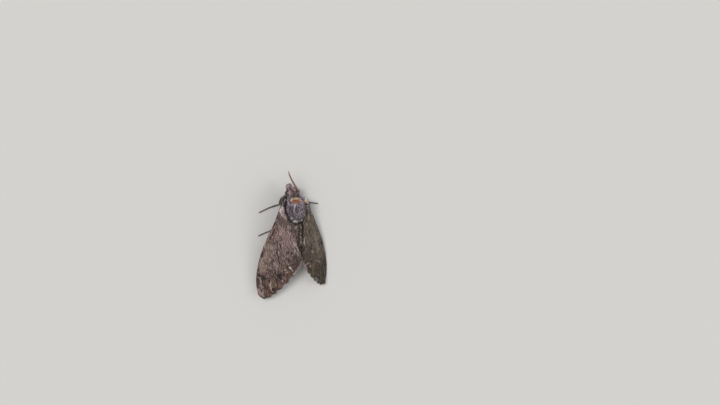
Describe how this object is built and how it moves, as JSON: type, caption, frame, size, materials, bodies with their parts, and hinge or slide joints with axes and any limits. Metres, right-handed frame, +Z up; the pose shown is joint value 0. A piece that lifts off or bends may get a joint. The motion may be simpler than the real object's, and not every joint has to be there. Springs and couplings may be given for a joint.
{
  "type": "hawk moth",
  "caption": "Life-size still model of a large grey-brown hawk moth at rest, wings folded back like a low roof, one feeler raised.",
  "frame": {"origin": "on the surface it stands on, under the middle of its outline", "axes": "+Z up through the back, -Y toward the head, +X to the moth's own left"},
  "size_m": [0.0452, 0.076, 0.0186],
  "materials": {
    "body": "grey-violet hair scales on head and thorax, orange and cream collar",
    "abdomen": "brown-grey hair scales with a dark middle line",
    "forewing": "overlapping flat scales, mottled mauve-brown with dark and pale flecks",
    "hindwing": "overlapping flat scales, dark brown with paler bands",
    "leg": "dark brown scales with pale rings",
    "antenna": "ringed horn, rusty brown",
    "eye": "dark glossy compound eye"
  },
  "bodies": {
    "root": {"thorax": "body", "abdomen_1": "abdomen", "abdomen_2": "abdomen", "abdomen_3": "abdomen", "abdomen_4": "abdomen", "abdomen_5": "abdomen", "abdomen_6": "abdomen", "head": "body", "eye_l": "eye", "eye_r": "eye", "palp_l": "body", "palp_r": "body", "antenna_l": "antenna", "antenna_r": "antenna", "forewing_l": "forewing", "forewing_r": "forewing", "hindwing_l": "hindwing", "hindwing_r": "hindwing", "leg_fore_l_femur": "leg", "leg_fore_l_tibia": "leg", "leg_fore_l_tarsus": "leg", "leg_fore_r_femur": "leg", "leg_fore_r_tibia": "leg", "leg_fore_r_tarsus": "leg", "leg_middle_l_femur": "leg", "leg_middle_l_tibia": "leg", "leg_middle_l_tarsus": "leg", "leg_middle_r_femur": "leg", "leg_middle_r_tibia": "leg", "leg_middle_r_tarsus": "leg", "leg_hind_l_femur": "leg", "leg_hind_l_tibia": "leg", "leg_hind_l_tarsus": "leg", "leg_hind_r_femur": "leg", "leg_hind_r_tibia": "leg", "leg_hind_r_tarsus": "leg"}
  },
  "joints": []
}
